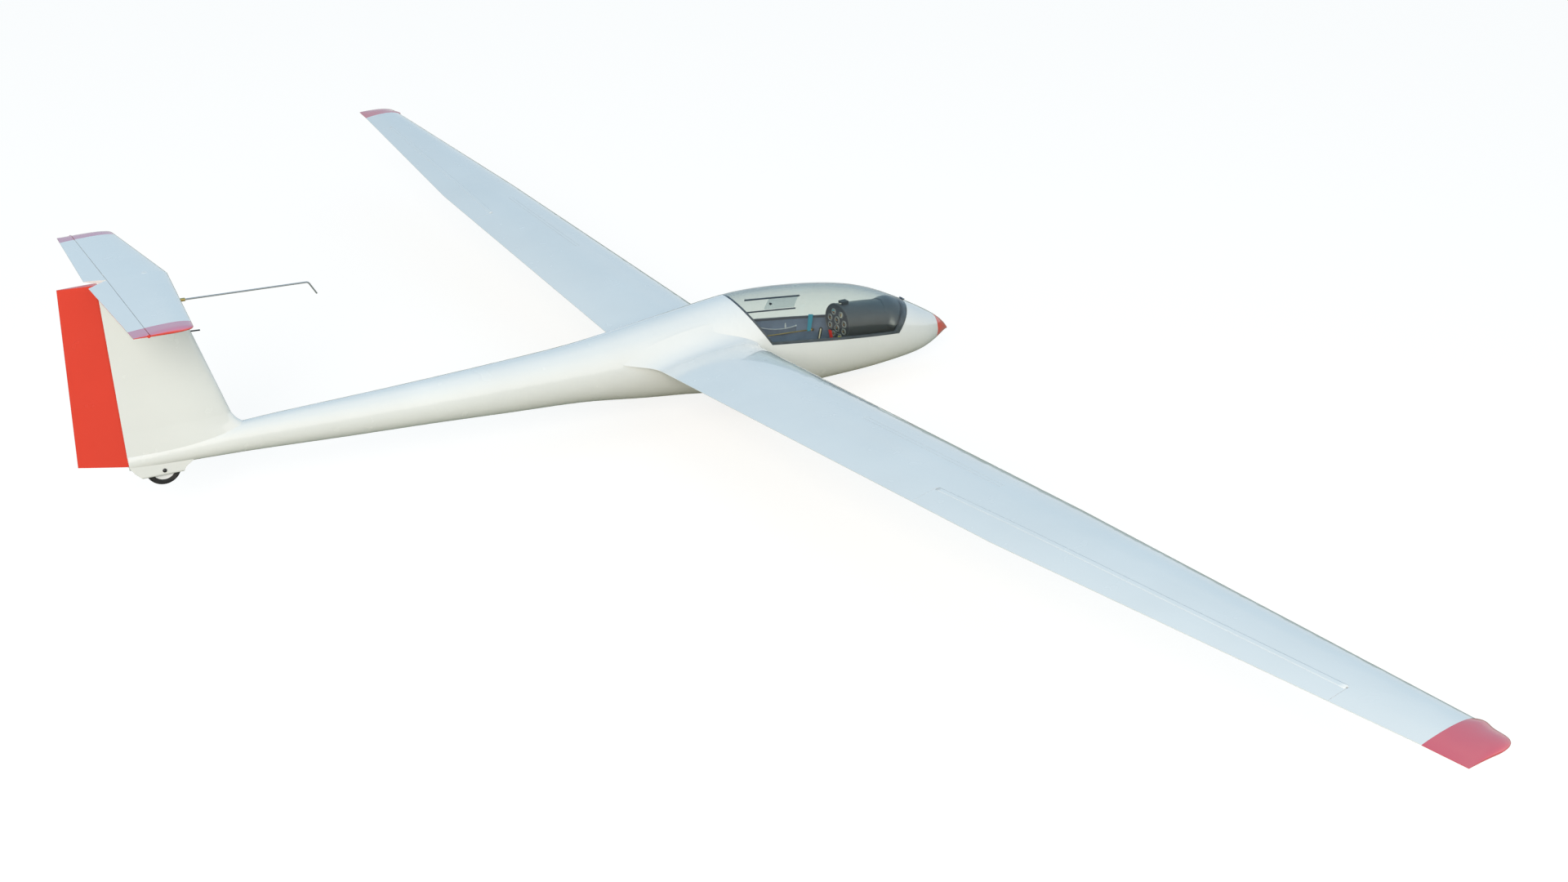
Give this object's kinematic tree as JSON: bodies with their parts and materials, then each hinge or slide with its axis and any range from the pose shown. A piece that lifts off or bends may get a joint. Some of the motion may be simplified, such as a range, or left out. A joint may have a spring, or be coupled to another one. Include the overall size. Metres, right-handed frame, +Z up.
{
  "type": "rc glider",
  "caption": "Quarter-scale radio-control sailplane with T-tail, clear hinged canopy over a scale cockpit, airbrakes, ailerons and two wheels.",
  "frame": {"origin": "on the ground plane below the middle of the model's bounding box, in level flight attitude", "axes": "+Y from nose to tail, +X to the left wing tip, +Z up"},
  "size_m": [3.75, 1.858, 0.492],
  "materials": {
    "white_gelcoat": "gloss",
    "red_gelcoat": "gloss",
    "clear_canopy": "gloss",
    "slate_lining": "matte",
    "panel_black": "matte",
    "shroud_grey": "satin",
    "gauge_face": "satin",
    "grip_black": "matte",
    "lever_blue": "satin",
    "lever_red": "satin",
    "knob_yellow": "satin",
    "brass": "polished",
    "steel": "satin",
    "aluminium": "satin",
    "plywood": "matte",
    "tyre_rubber": "matte",
    "hub_white": "satin",
    "dark_tube": "satin",
    "servo_black": "matte",
    "battery_wrap": "satin",
    "seat_grey": "matte"
  },
  "bodies": {
    "airframe": {"fuselage_shell": "white_gelcoat", "nose_cone": "red_gelcoat", "canopy_hinge": "steel", "instrument_panel": "panel_black", "instrument_gauges": "gauge_face", "panel_shroud": "shroud_grey", "compass": "panel_black", "stick_fork": "aluminium", "lever_track": "brass", "trim_lever": "lever_red", "release_knob": "knob_yellow", "cockpit_liner": "slate_lining", "seat_pan": "seat_grey", "main_bulkhead": "plywood", "left_wing_shell": "white_gelcoat", "right_wing_shell": "white_gelcoat", "left_wing_tip": "red_gelcoat", "right_wing_tip": "red_gelcoat", "airbrake_boxes": "plywood", "wing_spars": "plywood", "joiner_sleeves": "brass", "servos": "servo_black", "stabiliser": "white_gelcoat", "stabiliser_bolt": "steel", "hinge_lugs": "aluminium", "hinge_pins": "steel", "wheel_axles": "steel", "wheel_bracket": "aluminium", "wheel_well": "white_gelcoat", "te_probe": "steel", "probe_socket": "brass", "pitot_tube": "dark_tube", "wing_joiner": "steel", "wing_locating_pins": "steel", "tow_hook": "steel", "equipment_tray": "plywood", "flight_battery": "battery_wrap", "receiver": "servo_black"},
    "canopy": {"canopy_glass": "clear_canopy", "canopy_frame": "slate_lining", "vent_rails": "slate_lining"},
    "vent": {"vent_pane": "clear_canopy", "vent_knob": "panel_black"},
    "rudder_panel": {"rudder": "red_gelcoat"},
    "elevator": {"left_elevator": "white_gelcoat", "right_elevator": "white_gelcoat", "elevator_torque_tube": "steel"},
    "aileron_left": {"left_aileron": "white_gelcoat"},
    "aileron_right": {"right_aileron": "white_gelcoat"},
    "airbrake_left": {"left_airbrake_cap": "white_gelcoat", "left_airbrake_blade": "aluminium"},
    "airbrake_right": {"right_airbrake_cap": "white_gelcoat", "right_airbrake_blade": "aluminium"},
    "main_wheel": {"main_tyre": "tyre_rubber", "main_hub": "hub_white"},
    "tail_wheel": {"tail_tyre": "tyre_rubber", "tail_hub": "hub_white"},
    "stick": {"control_stick": "steel", "stick_grip": "grip_black"},
    "airbrake_handle": {"airbrake_lever": "lever_blue"}
  },
  "joints": [
    {"name": "rudder_hinge", "type": "hinge", "parent": "airframe", "child": "rudder_panel", "pos_m": [0, 0.85419, 0.252], "axis": [0, 0.0119, 0.9999], "range_deg": [-30, 30]},
    {"name": "elevator_hinge", "type": "hinge", "parent": "airframe", "child": "elevator", "pos_m": [0, 0.8364, 0.4854], "axis": [1, 0, 0], "range_deg": [-20, 20]},
    {"name": "aileron_left_hinge", "type": "hinge", "parent": "airframe", "child": "aileron_left", "pos_m": [0.895, -0.209, 0.21488], "axis": [0.9972, -0.0455, 0.0599], "range_deg": [-18, 18]},
    {"name": "aileron_right_hinge", "type": "hinge", "parent": "airframe", "child": "aileron_right", "pos_m": [-0.895, -0.209, 0.21488], "axis": [0.9972, 0.0455, -0.0599], "range_deg": [-18, 18]},
    {"name": "airbrake_left_slide", "type": "slide", "parent": "airframe", "child": "airbrake_left", "axis": [-0.0637, 0, 0.998], "range_m": [0, 0.015]},
    {"name": "airbrake_right_slide", "type": "slide", "parent": "airframe", "child": "airbrake_right", "axis": [0.0637, 0, 0.998], "range_m": [0, 0.015]},
    {"name": "airbrake_lever_slide", "type": "slide", "parent": "airframe", "child": "airbrake_handle", "axis": [-0.0139, 0.998, 0.0624], "range_m": [0, 0.024]},
    {"name": "canopy_hinge", "type": "hinge", "parent": "airframe", "child": "canopy", "pos_m": [0, -0.7986, 0.1704], "axis": [1, 0, 0], "range_deg": [0, 55]},
    {"name": "vent_slide", "type": "slide", "parent": "canopy", "child": "vent", "axis": [0.005, 0.9951, 0.0988], "range_m": [0, 0.03]},
    {"name": "stick_pitch", "type": "hinge", "parent": "airframe", "child": "stick", "pos_m": [0, -0.571, 0.068], "axis": [1, 0, 0], "range_deg": [-10, 10]},
    {"name": "main_wheel_spin", "type": "hinge", "parent": "airframe", "child": "main_wheel", "pos_m": [0, -0.399, 0.048], "axis": [1, 0, 0], "continuous": true},
    {"name": "tail_wheel_spin", "type": "hinge", "parent": "airframe", "child": "tail_wheel", "pos_m": [0, 0.7935, 0.138], "axis": [1, 0, 0], "continuous": true}
  ],
  "couplings": [
    {"joint": "aileron_right_hinge", "follows": "aileron_left_hinge", "ratio": -1},
    {"joint": "airbrake_right_slide", "follows": "airbrake_left_slide", "ratio": 1},
    {"joint": "airbrake_lever_slide", "follows": "airbrake_left_slide", "ratio": 1.6}
  ]
}
